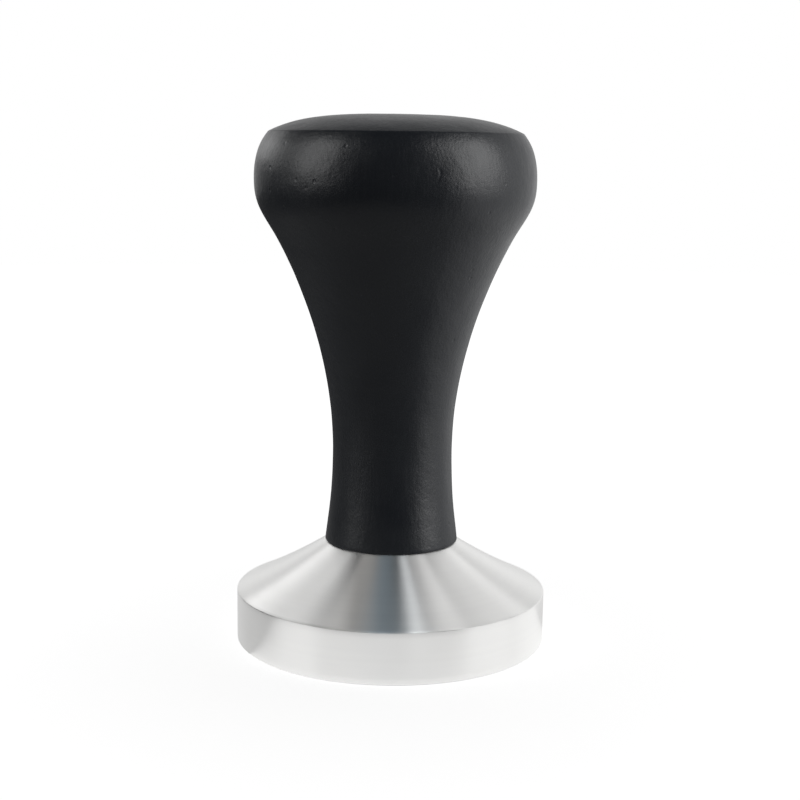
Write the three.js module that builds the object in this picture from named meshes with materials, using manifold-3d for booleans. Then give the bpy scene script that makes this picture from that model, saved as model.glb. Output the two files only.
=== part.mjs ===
// Espresso tamper: a turned wooden handle screwed down onto a turned aluminium base.
// Millimetres, +Z up. The origin is the centre of the tamping face, the underside of the base.
//
// The pieces are coaxial. A threaded stud stands in the base's blind tapped hole and in a brass
// insert that is screwed into the wood, so the handle unscrews from the base about +Z.
// The threads are drawn as plain cylinders at their major radius, inside a running clearance.

import * as THREE from 'three';
import Module from 'manifold-3d';
import { mergeVertices } from 'three/addons/utils/BufferGeometryUtils.js';

// Driving dimensions
const BASE_DIAMETER = 51;
const TOTAL_HEIGHT = 86;
const RIM_HEIGHT = 8.4;
const RIM_CHAMFER = 0.3;
const SEAT_HEIGHT = 16.55;
const SEAT_RADIUS = 10.75;
const CONE_HOLLOW = 0.4;

const STUD_DIAMETER = 8;
const STUD_LENGTH = 26;
const STUD_IN_BASE = 10;
const STUD_CHAMFER = 0.7;
const SOCKET_ACROSS_FLATS = 4;
const SOCKET_DEPTH = 5;

const TAP_DRILL_DIAMETER = 6.8;
const DRILL_POINT_ANGLE = THREE.MathUtils.degToRad(118);
const HOLE_COUNTERSINK = 0.5;
const TAPPED_DEPTH = 10.4;
const DRILLED_DEPTH = 10.8;

const INSERT_DIAMETER = 12;
const INSERT_LENGTH = 15;
const INSERT_SETBACK = 0.8;
const INSERT_CHAMFER = 0.6;

const THREAD_CLEARANCE = 0.15;
const AROUND = 72;

const studRadius = STUD_DIAMETER / 2;
const studHoleRadius = studRadius + THREAD_CLEARANCE;
const studBottom = SEAT_HEIGHT - STUD_IN_BASE;
const studTop = studBottom + STUD_LENGTH;
const insertRadius = INSERT_DIAMETER / 2;
const insertBottom = SEAT_HEIGHT + INSERT_SETBACK;
const insertTop = insertBottom + INSERT_LENGTH;

// Revolves an outline of (radius, height) about +Z. The outline runs anticlockwise as seen with
// the radius to the right, so it goes out along the bottom, up the outside and back to the axis.
function turned(outline) {
  const geometry = new THREE.LatheGeometry(outline.getPoints(8), AROUND);
  geometry.rotateX(Math.PI / 2);
  return geometry;
}

// How far a drill's conical point reaches past the full diameter of its hole.
function drillPointDepth(radius) {
  return radius / Math.tan(DRILL_POINT_ANGLE / 2);
}

// A closed geometry as a solid that can be cut.
function solid(wasm, geometry) {
  const bare = geometry.clone();
  bare.deleteAttribute('normal');
  bare.deleteAttribute('uv');
  const merged = mergeVertices(bare, 1e-4);
  const mesh = new wasm.Mesh({
    numProp: 3,
    vertProperties: new Float32Array(merged.attributes.position.array),
    triVerts: new Uint32Array(merged.index.array),
  });
  mesh.merge();
  return new wasm.Manifold(mesh);
}

// A cut solid as a geometry again.
function geometryOf(manifold) {
  const mesh = manifold.getMesh();
  const geometry = new THREE.BufferGeometry();
  geometry.setAttribute('position', new THREE.BufferAttribute(mesh.vertProperties, mesh.numProp));
  geometry.setIndex(new THREE.BufferAttribute(mesh.triVerts, 1));
  geometry.computeVertexNormals();
  return geometry;
}

function part(name, geometry, color, roughness, metalness) {
  const material = new THREE.MeshStandardMaterial({ color, roughness, metalness });
  const mesh = new THREE.Mesh(geometry, material);
  mesh.name = name;
  return mesh;
}

// The base: a short rim, a slightly hollow cone up to a flat seat, and a blind tapped hole.
function makeBase() {
  const rimRadius = BASE_DIAMETER / 2;
  const drillRadius = TAP_DRILL_DIAMETER / 2;
  const drillBottom = SEAT_HEIGHT - DRILLED_DEPTH;
  const middleRadius = (rimRadius + SEAT_RADIUS) / 2;
  const middleHeight = (RIM_HEIGHT + SEAT_HEIGHT) / 2;
  const outline = new THREE.Path();
  outline.moveTo(0, 0);
  outline.lineTo(rimRadius - RIM_CHAMFER, 0);
  outline.lineTo(rimRadius, RIM_CHAMFER);
  outline.lineTo(rimRadius, RIM_HEIGHT);
  outline.quadraticCurveTo(middleRadius, middleHeight - 2 * CONE_HOLLOW, SEAT_RADIUS, SEAT_HEIGHT);
  outline.lineTo(studHoleRadius + HOLE_COUNTERSINK, SEAT_HEIGHT);
  outline.lineTo(studHoleRadius, SEAT_HEIGHT - HOLE_COUNTERSINK);
  outline.lineTo(studHoleRadius, SEAT_HEIGHT - TAPPED_DEPTH);
  outline.lineTo(drillRadius, SEAT_HEIGHT - TAPPED_DEPTH);
  outline.lineTo(drillRadius, drillBottom);
  outline.lineTo(0, drillBottom - drillPointDepth(drillRadius));
  return part('base', turned(outline), 0xd2d4d6, 0.3, 1);
}

// The stud: a steel set screw with chamfered ends and a hexagon socket in its lower end.
function makeStud(wasm) {
  const outline = new THREE.Path();
  outline.moveTo(0, studBottom);
  outline.lineTo(studRadius - STUD_CHAMFER, studBottom);
  outline.lineTo(studRadius, studBottom + STUD_CHAMFER);
  outline.lineTo(studRadius, studTop - STUD_CHAMFER);
  outline.lineTo(studRadius - STUD_CHAMFER, studTop);
  outline.lineTo(0, studTop);
  const cornerRadius = SOCKET_ACROSS_FLATS / Math.sqrt(3);
  const socket = new THREE.CylinderGeometry(cornerRadius, cornerRadius, 2 * SOCKET_DEPTH, 6);
  socket.rotateX(Math.PI / 2);
  socket.translate(0, 0, studBottom);
  const cut = solid(wasm, turned(outline)).subtract(solid(wasm, socket));
  return part('stud', geometryOf(cut), 0x9a9da0, 0.35, 1);
}

// The insert: a brass sleeve with a coarse wood thread outside and the stud's thread inside.
function makeInsert() {
  const outline = new THREE.Path();
  outline.moveTo(studHoleRadius, insertBottom);
  outline.lineTo(insertRadius - INSERT_CHAMFER, insertBottom);
  outline.lineTo(insertRadius, insertBottom + INSERT_CHAMFER);
  outline.lineTo(insertRadius, insertTop - INSERT_CHAMFER);
  outline.lineTo(insertRadius - INSERT_CHAMFER, insertTop);
  outline.lineTo(studHoleRadius, insertTop);
  outline.lineTo(studHoleRadius, insertBottom);
  return part('insert', turned(outline), 0xb08d3c, 0.35, 1);
}

// The handle: a foot that flares a little, a slim waist, a round bulb and a low domed top
// that meets it in a crisp edge. A blind hole from below takes the insert and the stud.
function makeHandle() {
  const footRadius = 10.95;
  const footRounding = 0.2;
  const waistRadius = 9.82;
  const waistHeight = 31.5;
  const slopeRadius = 18.53;
  const slopeHeight = 65.35;
  const bulbRadius = 22.65;
  const bulbHeight = 75.7;
  const edgeRadius = 20.38;
  const edgeHeight = 83.1;
  const holeRadius = insertRadius + THREAD_CLEARANCE;
  const holeTop = 34;
  const outline = new THREE.Path();
  outline.moveTo(0, holeTop + drillPointDepth(holeRadius));
  outline.lineTo(holeRadius, holeTop);
  outline.lineTo(holeRadius, SEAT_HEIGHT);
  outline.lineTo(footRadius - footRounding, SEAT_HEIGHT);
  outline.lineTo(footRadius, SEAT_HEIGHT + footRounding);
  outline.bezierCurveTo(10.4, 21.4, waistRadius, 24.95, waistRadius, waistHeight);
  outline.bezierCurveTo(waistRadius, 44.3, 13.74, 56.07, slopeRadius, slopeHeight);
  outline.bezierCurveTo(20.91, 69.96, bulbRadius, 70.86, bulbRadius, bulbHeight);
  outline.bezierCurveTo(bulbRadius, 79.9, 21.4, 81.8, edgeRadius, edgeHeight);
  outline.bezierCurveTo(15.6, 85.52, 10.07, TOTAL_HEIGHT, 0, TOTAL_HEIGHT);
  return part('handle', turned(outline), 0x141212, 0.5, 0);
}

const wasm = await Module();
wasm.setup();

const tamper = new THREE.Group();
tamper.add(makeBase());
tamper.add(makeStud(wasm));
tamper.add(makeInsert());
tamper.add(makeHandle());

export default tamper;
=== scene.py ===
import math

import bmesh
import bpy
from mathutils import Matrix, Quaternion, Vector, noise
from mathutils.geometry import interpolate_bezier


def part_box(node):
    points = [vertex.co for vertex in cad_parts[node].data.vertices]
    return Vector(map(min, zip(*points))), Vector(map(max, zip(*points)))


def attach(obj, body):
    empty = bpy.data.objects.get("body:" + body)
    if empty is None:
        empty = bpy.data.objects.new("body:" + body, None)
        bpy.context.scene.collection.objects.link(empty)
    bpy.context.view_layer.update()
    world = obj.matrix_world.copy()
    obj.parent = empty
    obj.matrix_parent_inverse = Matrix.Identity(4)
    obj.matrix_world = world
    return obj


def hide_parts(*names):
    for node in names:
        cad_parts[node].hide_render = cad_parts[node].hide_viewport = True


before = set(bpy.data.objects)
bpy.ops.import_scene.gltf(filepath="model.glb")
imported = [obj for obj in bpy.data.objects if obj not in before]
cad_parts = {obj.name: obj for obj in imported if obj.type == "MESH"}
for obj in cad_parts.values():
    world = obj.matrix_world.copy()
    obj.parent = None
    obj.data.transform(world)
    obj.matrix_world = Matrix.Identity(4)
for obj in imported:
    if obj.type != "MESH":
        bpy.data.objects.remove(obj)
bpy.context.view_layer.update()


# ---------------------------------------------------------------------------------------
# The camera stands a little above the top of the handle and looks slightly down on it.
# ---------------------------------------------------------------------------------------
camera_data = bpy.data.cameras.new("camera")
camera_data.lens = 68.4
camera_data.sensor_width = 36.0
camera_data.clip_start = 0.01
camera = bpy.data.objects.new("camera", camera_data)
bpy.context.scene.collection.objects.link(camera)
camera.location = (0.0, -0.246, 0.0808)
camera.rotation_euler = (math.radians(80.55), math.radians(-0.75), math.radians(-0.149))
bpy.context.scene.camera = camera


# ---------------------------------------------------------------------------------------
# The base. Aluminium bar, turned in one setting: a plain rim that fits the filter basket,
# a slightly hollow cone and a small flat seat, then drilled and tapped M8 from the top.
# It is faced off underneath, and its edges are only just broken.
# ---------------------------------------------------------------------------------------
MM = 0.001
STEPS_AROUND = 288
SAME_PLACE = 0.001 * MM

rim_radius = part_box("base")[1].x
seat_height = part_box("base")[1].z
rim_height = 8.4 * MM
rim_chamfer = 0.3 * MM
seat_radius = 10.75 * MM
cone_hollow = 0.4 * MM
edge_break = 0.12 * MM

THREAD_PITCH = 1.25 * MM
thread_run_out = THREAD_PITCH / 2
tapped_major = 4.04 * MM
tapped_minor = 3.40 * MM
countersink_radius = 4.6 * MM
drilled_bottom = seat_height - 10.8 * MM
DRILL_POINT_ANGLE = math.radians(118)
drill_point = tapped_minor / math.tan(DRILL_POINT_ANGLE / 2)


def along(start, end, count):
    """Points evenly along a straight line, both ends included."""
    return [Vector(start).lerp(Vector(end), i / count) for i in range(count + 1)]


def spun(outline, steps, closed=False):
    """A skin made by turning an outline of (radius, height) points once round the axis.
    It is spun over one sector, and the sector is then repeated."""
    sectors = 12
    sector = 2 * math.pi / sectors
    centre = {"cent": (0, 0, 0), "axis": (0, 0, 1), "dvec": (0, 0, 0)}
    bm = bmesh.new()
    line = [bm.verts.new((p[0], 0.0, p[1])) for p in outline]
    edges = [bm.edges.new(pair) for pair in zip(line, line[1:])]
    if closed:
        edges.append(bm.edges.new((line[-1], line[0])))
    bmesh.ops.spin(bm, geom=line + edges, angle=sector, steps=steps // sectors, **centre)
    bmesh.ops.spin(
        bm, geom=bm.verts[:] + bm.edges[:] + bm.faces[:], angle=2 * math.pi - sector,
        steps=sectors - 1, use_duplicate=True, **centre)
    bmesh.ops.remove_doubles(bm, verts=bm.verts, dist=SAME_PLACE)
    bmesh.ops.recalc_face_normals(bm, faces=bm.faces)
    return bm


def break_rings(bm, rings, width, segments):
    """Rounds the circular edges that run through the (radius, height) points in rings."""
    def on_ring(vert):
        return any(math.dist((vert.co.xy.length, vert.co.z), ring) < SAME_PLACE for ring in rings)

    edges = [e for e in bm.edges if all(on_ring(v) for v in e.verts)]
    bmesh.ops.bevel(
        bm, geom=edges, offset=width, offset_type="OFFSET", segments=segments,
        profile=0.5, affect="EDGES", material=-1, clamp_overlap=True,
    )


def thread_height(co, pitch, crest_flat, root_flat):
    """0 in the root and 1 on the crest of a right-hand thread, at the point co."""
    turn = (co.z / pitch - math.atan2(co.y, co.x) / (2 * math.pi)) % 1.0
    from_crest = min(turn, 1.0 - turn)
    flank = (1.0 - crest_flat - root_flat) / 2
    return 1.0 - min(max((from_crest - crest_flat / 2) / flank, 0.0), 1.0)


def set_radius(vert, radius):
    scale = radius / vert.co.xy.length
    vert.co.x *= scale
    vert.co.y *= scale


def finished(bm, name, body, node, material, smooth_angle=32):
    """Makes the bmesh a piece that rides on a body and stands for a node of the frame."""
    mesh = bpy.data.meshes.new(name)
    bm.to_mesh(mesh)
    bm.free()
    mesh.shade_smooth()
    mesh.set_sharp_from_angle(angle=math.radians(smooth_angle))
    mesh.materials.append(material)
    piece = bpy.data.objects.new(name, mesh)
    bpy.context.scene.collection.objects.link(piece)
    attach(piece, body)
    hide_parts(node)
    return piece


class Finish:
    """A node material, with short ways to add a node and to feed the shader."""

    def __init__(self, name):
        self.material = bpy.data.materials.new(name)
        self.material.use_nodes = True
        self.tree = self.material.node_tree
        self.shader = self.tree.nodes["Principled BSDF"]
        self.place = self.add("ShaderNodeTexCoord").outputs["Object"]

    def add(self, kind, inputs=None, **settings):
        node = self.tree.nodes.new(kind)
        for key, value in settings.items():
            setattr(node, key, value)
        for key, value in (inputs or {}).items():
            if isinstance(value, bpy.types.NodeSocket):
                self.tree.links.new(value, node.inputs[key])
            else:
                node.inputs[key].default_value = value
        return node

    def math(self, operation, *values):
        inputs = dict(enumerate(values))
        return self.add("ShaderNodeMath", inputs, operation=operation).outputs[0]

    def ramp(self, value, low, high, to_low=0.0, to_high=1.0):
        node = self.add("ShaderNodeMapRange", {
            "Value": value, "From Min": low, "From Max": high,
            "To Min": to_low, "To Max": to_high,
        })
        return node.outputs["Result"]

    def noise(self, place, scale, detail=2.0, roughness=0.5):
        node = self.add("ShaderNodeTexNoise", {
            "Vector": place, "Scale": scale, "Detail": detail, "Roughness": roughness,
        })
        return node.outputs["Fac"]

    def stretched(self, scale):
        return self.add("ShaderNodeMapping", {"Vector": self.place, "Scale": scale}).outputs[0]


def turned_aluminium():
    finish = Finish("turned_aluminium")
    x, y, z = finish.add("ShaderNodeSeparateXYZ", {"Vector": finish.place}).outputs
    radius = finish.math("POWER", finish.math(
        "ADD", finish.math("MULTIPLY", x, x), finish.math("MULTIPLY", y, y)), 0.5)
    lathe_place = finish.add("ShaderNodeCombineXYZ", {"X": radius, "Y": z}).outputs[0]
    tool_marks = finish.noise(lathe_place, 14000.0, detail=2.0, roughness=0.6)
    passes = finish.noise(lathe_place, 700.0, detail=2.0)
    clouds = finish.noise(finish.place, 90.0, detail=3.0)
    tint = finish.add("ShaderNodeMix", {
        "Factor": finish.ramp(passes, 0.3, 0.7),
        "A": (0.885, 0.882, 0.872, 1.0), "B": (0.905, 0.903, 0.890, 1.0),
    }, data_type="RGBA")
    bump = finish.add("ShaderNodeBump", {
        "Height": tool_marks, "Strength": 0.06, "Distance": 0.00002,
    })
    roughness = finish.math("ADD", finish.ramp(clouds, 0.3, 0.7, 0.32, 0.35),
                            finish.ramp(passes, 0.3, 0.7, -0.01, 0.01))
    tangent = finish.add("ShaderNodeTangent", direction_type="RADIAL", axis="Z")
    finish.tree.links.new(tint.outputs["Result"], finish.shader.inputs["Base Color"])
    finish.tree.links.new(roughness, finish.shader.inputs["Roughness"])
    finish.tree.links.new(bump.outputs["Normal"], finish.shader.inputs["Normal"])
    finish.tree.links.new(tangent.outputs["Tangent"], finish.shader.inputs["Tangent"])
    finish.shader.inputs["Metallic"].default_value = 1.0
    finish.shader.inputs["Anisotropic"].default_value = 0.95
    finish.shader.inputs["Anisotropic Rotation"].default_value = 0.25
    return finish.material


cone_middle = ((rim_radius + seat_radius) / 2, (rim_height + seat_height) / 2 - 2 * cone_hollow)
cone_start = Vector((rim_radius, rim_height, 0))
cone_end = Vector((seat_radius, seat_height, 0))
cone_pull = Vector((*cone_middle, 0))
cone = interpolate_bezier(
    cone_start, cone_start.lerp(cone_pull, 2 / 3), cone_end.lerp(cone_pull, 2 / 3), cone_end, 25)

base_outline = along((0, 0), (rim_radius - rim_chamfer, 0), 12)
base_outline += along((rim_radius, rim_chamfer), (rim_radius, rim_height), 8)
base_outline += cone[1:]
base_outline += along((seat_radius, seat_height), (countersink_radius, seat_height), 4)[1:]
base_outline += along((tapped_minor, seat_height), (tapped_minor, drilled_bottom), 150)[1:]
base_outline += along((tapped_minor, drilled_bottom), (0, drilled_bottom - drill_point), 6)[1:]

base_bm = spun(base_outline, STEPS_AROUND)
for vert in base_bm.verts:
    depth = seat_height - vert.co.z
    in_hole = abs(vert.co.xy.length - tapped_minor) < SAME_PLACE and vert.co.z > drilled_bottom - SAME_PLACE
    if in_hole and depth > SAME_PLACE:
        run_out = min((vert.co.z - drilled_bottom) / thread_run_out, 1.0)
        height = run_out * thread_height(vert.co, THREAD_PITCH, 0.125, 0.25)
        threaded = tapped_minor + (tapped_major - tapped_minor) * height
        set_radius(vert, max(threaded, countersink_radius - depth))
break_rings(base_bm, [(rim_radius, rim_height), (seat_radius, seat_height)], edge_break, 3)
break_rings(base_bm, [(rim_radius, rim_chamfer), (rim_radius - rim_chamfer, 0)], edge_break / 2, 2)
base = finished(base_bm, "base_turned", "base", "base", turned_aluminium())


# ---------------------------------------------------------------------------------------
# The stud. A zinc-plated M8 set screw that is locked into the handle's insert and stands
# out below it. Both ends are chamfered, and the lower one has a hexagon socket for a key.
# ---------------------------------------------------------------------------------------
STUD_STEPS = 96
stud_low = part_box("stud")[0].z
stud_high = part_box("stud")[1].z
stud_major = 3.97 * MM
stud_root = 3.24 * MM
stud_end_radius = 3.3 * MM
socket_half_flats = 2.0 * MM
socket_corner = socket_half_flats / math.cos(math.radians(30))
socket_mouth = 2.5 * MM
socket_depth = 5 * MM


def zinc_plate():
    finish = Finish("zinc_plate")
    cloud = finish.noise(finish.place, 700.0, detail=4.0)
    fine = finish.noise(finish.place, 5000.0, detail=2.0)
    tint = finish.add("ShaderNodeMix", {
        "Factor": finish.ramp(cloud, 0.35, 0.65),
        "A": (0.50, 0.52, 0.55, 1.0), "B": (0.63, 0.62, 0.58, 1.0),
    }, data_type="RGBA")
    bump = finish.add("ShaderNodeBump", {
        "Height": fine, "Strength": 0.15, "Distance": 0.00003,
    })
    finish.tree.links.new(tint.outputs["Result"], finish.shader.inputs["Base Color"])
    finish.tree.links.new(finish.ramp(cloud, 0.3, 0.7, 0.24, 0.36), finish.shader.inputs["Roughness"])
    finish.tree.links.new(bump.outputs["Normal"], finish.shader.inputs["Normal"])
    finish.shader.inputs["Metallic"].default_value = 1.0
    return finish.material


stud_outline = along((0, stud_low + socket_depth + 1 * MM), (socket_corner, stud_low + socket_depth), 4)
stud_outline += along((socket_corner, stud_low + socket_depth), (socket_corner, stud_low + 0.2 * MM), 8)[1:]
stud_outline += [(socket_mouth, stud_low), (stud_end_radius - 0.3 * MM, stud_low)]
stud_outline += along((stud_major, stud_low), (stud_major, stud_high), 300)
stud_outline += along((stud_end_radius - 0.3 * MM, stud_high), (0, stud_high), 4)

stud_bm = spun(stud_outline, STUD_STEPS)
for vert in stud_bm.verts:
    radius = vert.co.xy.length
    if abs(radius - stud_major) < SAME_PLACE:
        from_end = min(vert.co.z - stud_low, stud_high - vert.co.z)
        height = thread_height(vert.co, THREAD_PITCH, 0.125, 0.25)
        threaded = stud_root + (stud_major - stud_root) * height
        set_radius(vert, min(threaded, stud_end_radius + from_end))
    elif abs(radius - socket_corner) < SAME_PLACE and vert.co.z < stud_low + socket_depth + SAME_PLACE:
        from_flat = math.atan2(vert.co.y, vert.co.x) % math.radians(60) - math.radians(30)
        set_radius(vert, socket_half_flats / math.cos(from_flat))
stud = finished(stud_bm, "stud_threaded", "handle", "stud", zinc_plate())


# ---------------------------------------------------------------------------------------
# The insert. A brass sleeve that is driven into the wood by its coarse outer thread, with
# a slot across its end for the driver, and tapped M8 for the stud.
# ---------------------------------------------------------------------------------------
insert_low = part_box("insert")[0].z
insert_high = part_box("insert")[1].z
insert_crest = 5.95 * MM
insert_core = 5.2 * MM
insert_bore = tapped_minor
WOOD_PITCH = 2.5 * MM
slot_width = 1.4 * MM
slot_depth = 1.6 * MM


def machined_brass():
    finish = Finish("machined_brass")
    cloud = finish.noise(finish.place, 500.0, detail=4.0)
    rings = finish.noise(finish.stretched((400.0, 400.0, 12000.0)), 1.0, detail=2.0)
    tint = finish.add("ShaderNodeMix", {
        "Factor": finish.ramp(cloud, 0.35, 0.65),
        "A": (0.62, 0.43, 0.16, 1.0), "B": (0.80, 0.60, 0.28, 1.0),
    }, data_type="RGBA")
    bump = finish.add("ShaderNodeBump", {
        "Height": rings, "Strength": 0.2, "Distance": 0.00003,
    })
    finish.tree.links.new(tint.outputs["Result"], finish.shader.inputs["Base Color"])
    finish.tree.links.new(finish.ramp(cloud, 0.3, 0.7, 0.25, 0.38), finish.shader.inputs["Roughness"])
    finish.tree.links.new(bump.outputs["Normal"], finish.shader.inputs["Normal"])
    finish.shader.inputs["Metallic"].default_value = 1.0
    return finish.material


def cut_slot(bm, low, width, depth):
    """Saws a slot across the lower end of the sleeve with a Boolean and returns the cut bmesh."""
    saw_bm = bmesh.new()
    bmesh.ops.create_cube(saw_bm, size=1.0)
    bmesh.ops.scale(saw_bm, vec=(30 * MM, width, 2 * depth), verts=saw_bm.verts)
    bmesh.ops.translate(saw_bm, vec=(0, 0, low), verts=saw_bm.verts)
    objects = []
    for name, source in (("sleeve_blank", bm), ("saw", saw_bm)):
        mesh = bpy.data.meshes.new(name)
        source.to_mesh(mesh)
        source.free()
        objects.append(bpy.data.objects.new(name, mesh))
        bpy.context.scene.collection.objects.link(objects[-1])
    sleeve, saw = objects
    cut = sleeve.modifiers.new("slot", "BOOLEAN")
    cut.operation = "DIFFERENCE"
    cut.object = saw
    cut.solver = "EXACT"
    result = bmesh.new()
    result.from_object(sleeve, bpy.context.evaluated_depsgraph_get())
    bpy.data.objects.remove(sleeve)
    bpy.data.objects.remove(saw)
    return result


insert_outline = along((insert_bore, insert_high), (insert_bore, insert_low), 168)
insert_outline += along((insert_crest, insert_low), (insert_crest, insert_high), 120)

insert_bm = spun(insert_outline, STUD_STEPS, closed=True)
for vert in insert_bm.verts:
    radius = vert.co.xy.length
    from_end = min(vert.co.z - insert_low, insert_high - vert.co.z)
    if abs(radius - insert_bore) < SAME_PLACE:
        height = thread_height(vert.co, THREAD_PITCH, 0.125, 0.25)
        threaded = tapped_minor + (tapped_major - tapped_minor) * height
        set_radius(vert, max(threaded, tapped_major + 0.1 * MM - from_end))
    else:
        height = thread_height(vert.co, WOOD_PITCH, 0.08, 0.45)
        threaded = insert_core + (insert_crest - insert_core) * height
        set_radius(vert, min(threaded, insert_core - 0.3 * MM + from_end))
insert_bm = cut_slot(insert_bm, insert_low, slot_width, slot_depth)
insert = finished(insert_bm, "insert_sleeve", "handle", "insert", machined_brass())


# ---------------------------------------------------------------------------------------
# The handle. One piece of close-grained wood, turned between centres and bored from below,
# sanded by hand so that it isn't quite even, and sprayed with thin black satin lacquer that
# leaves the pores and small knocks showing. The domed top meets the bulb in a crisp edge.
# ---------------------------------------------------------------------------------------
handle_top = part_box("handle")[1].z
bulb_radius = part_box("handle")[1].x
foot_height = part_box("handle")[0].z
foot_radius = 10.95 * MM
foot_rounding = 0.2 * MM
bore_radius = 6.1 * MM
bore_top = 34 * MM
bore_point = bore_radius / math.tan(DRILL_POINT_ANGLE / 2)
waist = (9.82 * MM, 31.5 * MM)
slope = (18.53 * MM, 65.35 * MM)
bulb = (bulb_radius, 75.7 * MM)
top_edge = (20.38 * MM, 83.1 * MM)
top_edge_break = 0.15 * MM
wave_depth = 0.035 * MM
ripple_depth = 0.018 * MM
sanded_off = 0.03 * MM


def curve(start, pull_out, pull_in, end, count):
    """Points on a smooth curve between start and end, without its first point."""
    knots = [Vector((*p, 0)) for p in (start, pull_out, pull_in, end)]
    return [(p.x, p.y) for p in interpolate_bezier(*knots, count + 1)][1:]


def black_lacquered_wood():
    finish = Finish("black_lacquered_wood")
    mottle = finish.noise(finish.place, 620.0, detail=3.0, roughness=0.6)
    peel = finish.noise(finish.place, 2600.0, detail=2.0)
    grain = finish.noise(finish.stretched((2400.0, 2400.0, 170.0)), 1.0, detail=3.0, roughness=0.6)
    cells = finish.add("ShaderNodeTexVoronoi", {"Vector": finish.place, "Scale": 420.0})
    pick = finish.add("ShaderNodeSeparateColor", {"Color": cells.outputs["Color"]}).outputs["Red"]
    pits = finish.math("MULTIPLY", finish.ramp(cells.outputs["Distance"], 0.16, 0.06),
                       finish.math("GREATER_THAN", pick, 0.90))
    patches = finish.noise(finish.place, 110.0, detail=3.0)
    height = finish.math("MULTIPLY", mottle, 0.060)
    height = finish.math("ADD", height, finish.math("MULTIPLY", peel, 0.022))
    # A patch on the waist is rubbed thin, so its grain is open and it shines less.
    squat = finish.add("ShaderNodeMapping", {"Vector": finish.place, "Scale": (1, 1, 0.35)}).outputs[0]
    off_patch = finish.add(
        "ShaderNodeVectorMath", {0: squat, 1: (-4.7 * MM, -8.7 * MM, 10.3 * MM)}, operation="DISTANCE")
    rubbed = finish.ramp(off_patch.outputs["Value"], 1.5 * MM, 4.5 * MM, 1.0, 0.0)
    open_grain = finish.ramp(rubbed, 0.0, 1.0, 0.018, 0.060)
    height = finish.math("ADD", height, finish.math("MULTIPLY", grain, open_grain))
    height = finish.math("SUBTRACT", height, finish.math("MULTIPLY", pits, 0.045))
    bump = finish.add("ShaderNodeBump", {"Height": height, "Strength": 1.0, "Distance": 1 * MM})
    tint = finish.add("ShaderNodeMix", {
        "Factor": finish.ramp(patches, 0.35, 0.65),
        "A": (0.0064, 0.0084, 0.0122, 1.0), "B": (0.0092, 0.0114, 0.0150, 1.0),
    }, data_type="RGBA")
    roughness = finish.math("ADD", finish.ramp(patches, 0.3, 0.7, 0.33, 0.41),
                            finish.ramp(grain, 0.3, 0.7, -0.03, 0.03))
    finish.tree.links.new(tint.outputs["Result"], finish.shader.inputs["Base Color"])
    roughness = finish.math("ADD", roughness, finish.math("MULTIPLY", rubbed, 0.07))
    finish.tree.links.new(roughness, finish.shader.inputs["Roughness"])
    finish.tree.links.new(bump.outputs["Normal"], finish.shader.inputs["Normal"])
    finish.shader.inputs["Metallic"].default_value = 0.0
    finish.shader.inputs["Specular IOR Level"].default_value = 0.5
    return finish.material


def knock(bm, turn, height, length, width, depth, bow=0.0):
    """Presses a small mark into the wood: a pit, or a nick that is bowed into a crescent.
    The mesh is made finer there first. Turn is in degrees from straight in front."""
    side = math.radians(turn - 90)
    level = [v.co.xy.length for v in bm.verts if abs(v.co.z - height) < 0.4 * MM]
    centre = Vector((math.cos(side), math.sin(side), 0)) * max(level) + Vector((0, 0, height))
    reach = length + 1.2 * MM
    near = [f for f in bm.faces if (f.calc_center_median() - centre).length < reach]
    edges = list({e for f in near for e in f.edges})
    bmesh.ops.subdivide_edges(bm, edges=edges, cuts=3, smooth=1.0, use_grid_fill=True)
    bm.normal_update()
    across = Vector((-math.sin(side), math.cos(side), 0))
    for vert in bm.verts:
        away = vert.co - centre
        if away.length < 2 * reach:
            up = away.z / length
            sideways = (away.dot(across) + bow * up * up) / width
            vert.co -= vert.normal * depth * math.exp(-sideways * sideways - up * up)


handle_outline = along((0, bore_top + bore_point), (bore_radius, bore_top), 4)
handle_outline += along((bore_radius, bore_top), (bore_radius, foot_height), 10)[1:]
handle_outline += along((bore_radius, foot_height), (foot_radius - foot_rounding, foot_height), 4)[1:]
handle_outline += curve(
    handle_outline[-1], (foot_radius - 0.09 * MM, foot_height),
    (foot_radius, foot_height + 0.09 * MM), (foot_radius, foot_height + foot_rounding), 5)
handle_outline += curve(handle_outline[-1], (10.4 * MM, 21.4 * MM), (waist[0], 24.95 * MM), waist, 32)
handle_outline += curve(waist, (waist[0], 44.3 * MM), (13.74 * MM, 56.07 * MM), slope, 72)
handle_outline += curve(slope, (20.91 * MM, 69.96 * MM), (bulb_radius, 70.86 * MM), bulb, 26)
handle_outline += curve(bulb, (bulb_radius, 79.9 * MM), (21.4 * MM, 81.8 * MM), top_edge, 22)
handle_outline += curve(top_edge, (15.6 * MM, 85.52 * MM), (10.07 * MM, handle_top), (0, handle_top), 50)

handle_bm = spun(handle_outline, STEPS_AROUND)
break_rings(handle_bm, [top_edge], top_edge_break, 3)
handle_bm.normal_update()
hand_sanded = {}
for vert in handle_bm.verts:
    outside = vert.co.xy.length > bore_radius + SAME_PLACE or vert.co.z > bore_top + bore_point + SAME_PLACE
    if outside and vert.co.z > foot_height + SAME_PLACE:
        wave = noise.noise(vert.co / (7 * MM))
        ripple = noise.noise(vert.co / (2.6 * MM) + Vector((9.1, 3.7, 5.3)))
        hand_sanded[vert] = wave * wave_depth + ripple * ripple_depth - sanded_off
for vert, change in hand_sanded.items():
    vert.co += vert.normal * change
knock(handle_bm, 17, 77.0 * MM, 0.9 * MM, 0.22 * MM, 0.04 * MM, bow=0.4 * MM)
knock(handle_bm, -41, 75.8 * MM, 0.2 * MM, 0.2 * MM, 0.05 * MM)
knock(handle_bm, -36, 74.6 * MM, 0.25 * MM, 0.22 * MM, 0.06 * MM)
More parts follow.
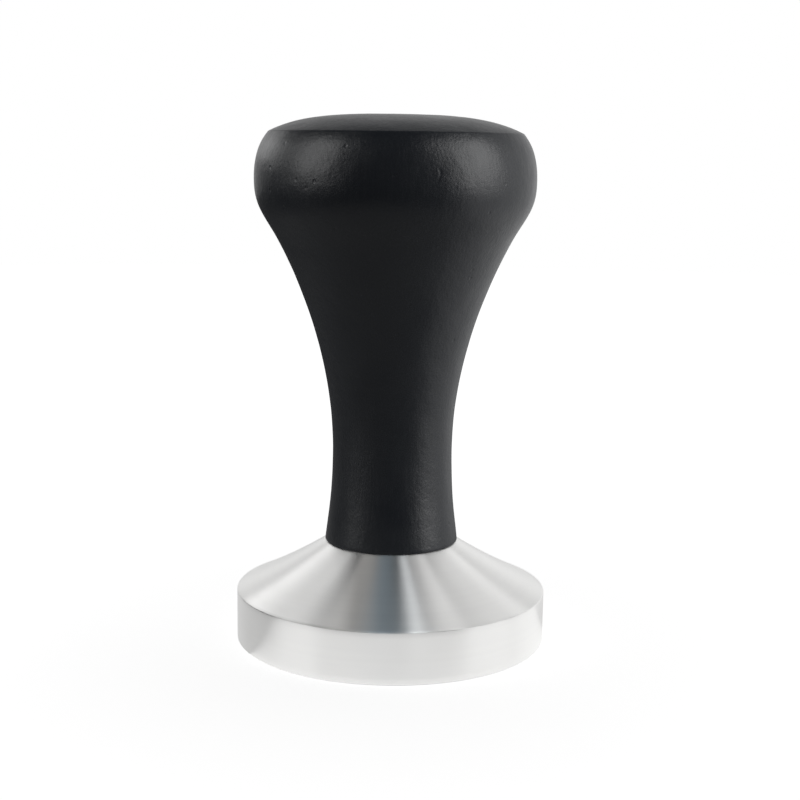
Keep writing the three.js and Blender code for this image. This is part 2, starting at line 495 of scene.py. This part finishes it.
knock(handle_bm, -26, 68.6 * MM, 0.2 * MM, 0.2 * MM, 0.07 * MM)
handle = finished(
    handle_bm, "handle_turned", "handle", "handle", black_lacquered_wood())


# ---------------------------------------------------------------------------------------
# The studio. A table runs back into a bright wall, and the room in front is dim. The table is
# white to the camera; to everything else it is nearly black, with painted glow to the right of
# the tamper and in a pool round it. The black handle and the bright metal each have their own
# soft boxes, because no one set of them suits both, and two glowing cards on the table light the
# metal from below.
# ---------------------------------------------------------------------------------------
floor_bm = bmesh.new()
bmesh.ops.create_circle(floor_bm, cap_ends=True, radius=0.8, segments=96)
floor_mesh = bpy.data.meshes.new("table")
floor_bm.to_mesh(floor_mesh)
floor_bm.free()
floor = bpy.data.objects.new("table", floor_mesh)
bpy.context.scene.collection.objects.link(floor)


def table_white_painted_glow():
    finish = Finish("table_white_painted_glow")
    seen = finish.add("ShaderNodeLightPath").outputs["Is Camera Ray"]
    x, y, _ = finish.add("ShaderNodeSeparateXYZ", {"Vector": finish.place}).outputs
    distance = finish.add("ShaderNodeVectorMath", {0: finish.place}, operation="LENGTH").outputs["Value"]
    # Painted light: to rays other than the camera's the table is nearly black, and it glows in a patch to
    # the right of the tamper and, stronger, in a pool round it. This painted glow shows in the reflections
    # on the handle and the metal and lights them from below.
    front_edge = finish.ramp(finish.math("ADD", y, finish.math("MULTIPLY", x, 0.7)), -0.006, 0.006)
    painted_glow_right = finish.math("MULTIPLY", front_edge, finish.ramp(x, 0.045, 0.12, 0.0, 0.78))
    painted_light_pool = finish.ramp(distance, 0.09, 0.18, 0.23, 0.05)
    painted_glow_off_camera = finish.math("ADD", painted_glow_right, painted_light_pool)
    # Painted shade: the white glow that the camera sees is dimmer within about 13 cm of the middle, so the
    # real soft shadow round the base is deepened by painted shade.
    bright = finish.ramp(distance, 0.03, 0.13, 0.90, 1.0)
    glow = finish.add("ShaderNodeMix", {"Factor": seen, "A": painted_glow_off_camera, "B": bright}).outputs["Result"]
    white = finish.ramp(seen, 0.0, 1.0, 0.05, 0.5)
    finish.tree.links.new(white, finish.shader.inputs["Base Color"])
    finish.tree.links.new(glow, finish.shader.inputs["Emission Strength"])
    finish.shader.inputs["Emission Color"].default_value = (1, 1, 1, 1)
    finish.shader.inputs["Roughness"].default_value = 0.9
    finish.shader.inputs["Specular IOR Level"].default_value = 0.0
    return finish.material


floor_mesh.materials.append(table_white_painted_glow())


LAMP_DISTANCE = 0.7


def lit_group(name, *pieces):
    """A collection of the pieces that a lamp may light."""
    group = bpy.data.collections.new(name)
    for piece in pieces:
        group.objects.link(piece)
    return group


def soft_box(name, azimuth, elevation, width, length, brightness, lights_only,
             spin=0, colour=(1, 1, 1)):
    """An area light aimed at the middle of the tamper, on the pieces in lights_only. Azimuth 0
    is behind the camera. Spin turns the lamp in its own plane. The angles are in degrees."""
    light = bpy.data.lights.new(name, "AREA")
    light.shape = "RECTANGLE"
    light.size = width
    light.size_y = length
    light.energy = brightness * math.pi * width * length
    light.color = colour
    lamp = bpy.data.objects.new(name, light)
    bpy.context.scene.collection.objects.link(lamp)
    turn = math.radians(azimuth)
    tilt = math.radians(elevation)
    middle = Vector((0, 0, handle_top / 2))
    away = Vector((math.sin(turn) * math.cos(tilt), -math.cos(turn) * math.cos(tilt), math.sin(tilt)))
    lamp.location = middle + away * LAMP_DISTANCE
    facing = away.to_track_quat("Z", "Y") @ Quaternion((0, 0, 1), math.radians(spin))
    lamp.rotation_euler = facing.to_euler()
    lamp.light_linking.receiver_collection = lights_only
    return lamp


wood = lit_group("wood", handle)
metal = lit_group("metal", base, stud, insert)
soft_box("left_box", -71, 27, 0.38, 0.62, 2.9, wood)
soft_box("left_low_box", -125, 20, 0.50, 0.26, 1.5, wood)
soft_box("right_box", 71, 25, 0.50, 0.72, 3.8, wood)
soft_box("left_fill", -72, 24, 0.45, 0.50, 0.75, metal)
soft_box("left_back_fill", -148, 39, 0.50, 0.46, 0.82, metal)
soft_box("right_fill", 75, 24, 0.50, 0.50, 0.90, metal)
soft_box("right_back_fill", 146, 47, 0.52, 0.50, 0.46, metal)
soft_box("top_strip", 39, 69, 0.085, 0.70, 2.7, metal, -26, (0.93, 0.97, 1.0))
soft_box("top_middle_fill", -15, 72, 0.19, 0.60, 0.70, metal, 0, (0.68, 0.86, 1.0))
soft_box("top_left_fill", -59, 64, 0.26, 0.60, 0.55, metal, 35, (1.0, 0.98, 0.95))
soft_box("top_right_fill", 74, 62, 0.24, 0.60, 0.85, metal, -42)
white_card = soft_box("white_card", 0, -90, 0.60, 0.60, 0.47, metal)
front_card = soft_box("front_card", 0, -90, 0.20, 0.30, 0.38, metal)
for card in (white_card, front_card):
    card.location = (0, 0, 0.05 * MM)
    card.visible_camera = False
front_card.location.y = -162 * MM
front_card.rotation_euler.z += math.radians(18)



def studio_world():
    world = bpy.data.worlds.new("studio")
    world.use_nodes = True
    tree = world.node_tree
    facing = tree.nodes.new("ShaderNodeTexCoord")
    towards = tree.nodes.new("ShaderNodeVectorMath")
    towards.operation = "DOT_PRODUCT"
    towards.inputs[1].default_value = (0.38, 0.91, 0.15)
    sweep = tree.nodes.new("ShaderNodeMapRange")
    sweep.interpolation_type = "SMOOTHSTEP"
    sweep.inputs["From Min"].default_value = 0.2
    sweep.inputs["From Max"].default_value = 0.85
    sweep.inputs["To Min"].default_value = 0.08
    sweep.inputs["To Max"].default_value = 0.88
    split = tree.nodes.new("ShaderNodeSeparateXYZ")
    overhead = tree.nodes.new("ShaderNodeMapRange")
    overhead.inputs["From Min"].default_value = 0.2
    overhead.inputs["From Max"].default_value = 0.75
    overhead.inputs["To Min"].default_value = 1.0
    overhead.inputs["To Max"].default_value = 0.38
    dimmed = tree.nodes.new("ShaderNodeMath")
    dimmed.operation = "MULTIPLY"
    room = tree.nodes["Background"]
    room.inputs["Color"].default_value = (1, 1, 1, 1)
    backdrop = tree.nodes.new("ShaderNodeBackground")
    backdrop.inputs["Color"].default_value = (1, 1, 1, 1)
    path = tree.nodes.new("ShaderNodeLightPath")
    seen = tree.nodes.new("ShaderNodeMixShader")
    tree.links.new(facing.outputs["Generated"], towards.inputs[0])
    tree.links.new(towards.outputs["Value"], sweep.inputs["Value"])
    tree.links.new(facing.outputs["Generated"], split.inputs[0])
    tree.links.new(split.outputs["Z"], overhead.inputs["Value"])
    tree.links.new(sweep.outputs["Result"], dimmed.inputs[0])
    tree.links.new(overhead.outputs["Result"], dimmed.inputs[1])
    tree.links.new(dimmed.outputs["Value"], room.inputs["Strength"])
    tree.links.new(path.outputs["Is Camera Ray"], seen.inputs["Fac"])
    tree.links.new(room.outputs[0], seen.inputs[1])
    tree.links.new(backdrop.outputs[0], seen.inputs[2])
    tree.links.new(seen.outputs[0], tree.nodes["World Output"].inputs["Surface"])
    return world


bpy.context.scene.world = studio_world()
bpy.context.scene.view_settings.view_transform = "Standard"
